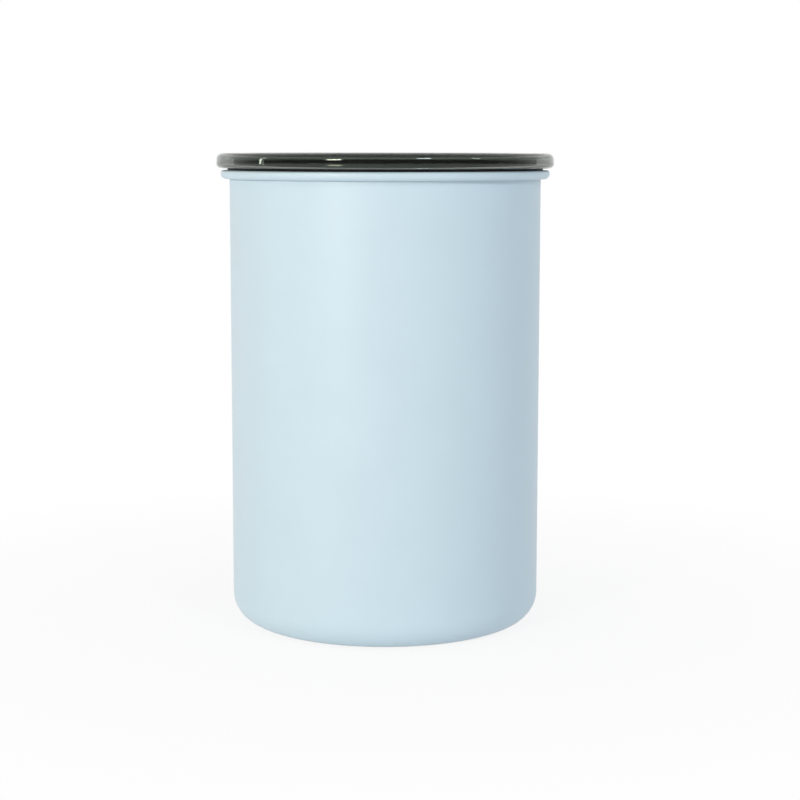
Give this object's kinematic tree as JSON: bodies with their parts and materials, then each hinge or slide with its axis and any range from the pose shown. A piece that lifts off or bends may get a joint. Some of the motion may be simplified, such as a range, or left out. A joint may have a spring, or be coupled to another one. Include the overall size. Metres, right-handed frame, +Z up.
{
  "type": "coffee canister",
  "caption": "Round steel coffee canister with a rolled rim, a smoked push-on lid and a sliding inner lid whose folding handle works a sprung vent valve.",
  "frame": {"origin": "centre of the base, on the plane that the canister stands on", "axes": "+Z up along the canister's axis, -Y towards the side that the handle folds to, which is the pictured front, +X to the right of that front"},
  "size_m": [0.13, 0.13, 0.1823],
  "materials": {
    "blue_coat": "matte powder coat outside, bare steel inside",
    "smoked_plastic": "smoked translucent, glossy",
    "black_rubber": "matte",
    "dark_plastic": "fine moulded texture",
    "grey_silicone": "soft matte",
    "grey_plastic": "satin moulded",
    "steel": "bright drawn"
  },
  "bodies": {
    "canister": {"canister_body": "blue_coat"},
    "outer_lid": {"outer_lid": "smoked_plastic", "outer_lid_gasket": "black_rubber"},
    "plunger": {"plunger_cup": "dark_plastic", "wiper_gasket": "grey_silicone", "vent_screen": "steel", "valve_cage": "grey_plastic", "valve_spring": "steel"},
    "handle": {"lift_handle": "dark_plastic", "handle_axle": "steel", "handle_cam": "grey_plastic"},
    "valve": {"valve_stem": "grey_plastic", "valve_seal": "grey_silicone"}
  },
  "joints": [
    {"name": "outer_lid_lift", "type": "slide", "parent": "canister", "child": "outer_lid", "axis": [0, 0, 1], "range_m": [0, 0.08]},
    {"name": "plunger_slide", "type": "slide", "parent": "canister", "child": "plunger", "axis": [0, 0, 1], "range_m": [-0.103, 0.002]},
    {"name": "handle_fold", "type": "hinge", "parent": "plunger", "child": "handle", "pos_m": [0, 0, 0.13355], "axis": [-1, 0, 0], "range_deg": [0, 90]},
    {"name": "valve_lift", "type": "slide", "parent": "plunger", "child": "valve", "axis": [0, 0, 1], "range_m": [0, 0.0024], "deforming": ["valve_spring"]}
  ],
  "couplings": [
    {"joint": "valve_lift", "follows": "handle_fold", "m_per_rad": 0.001527}
  ]
}
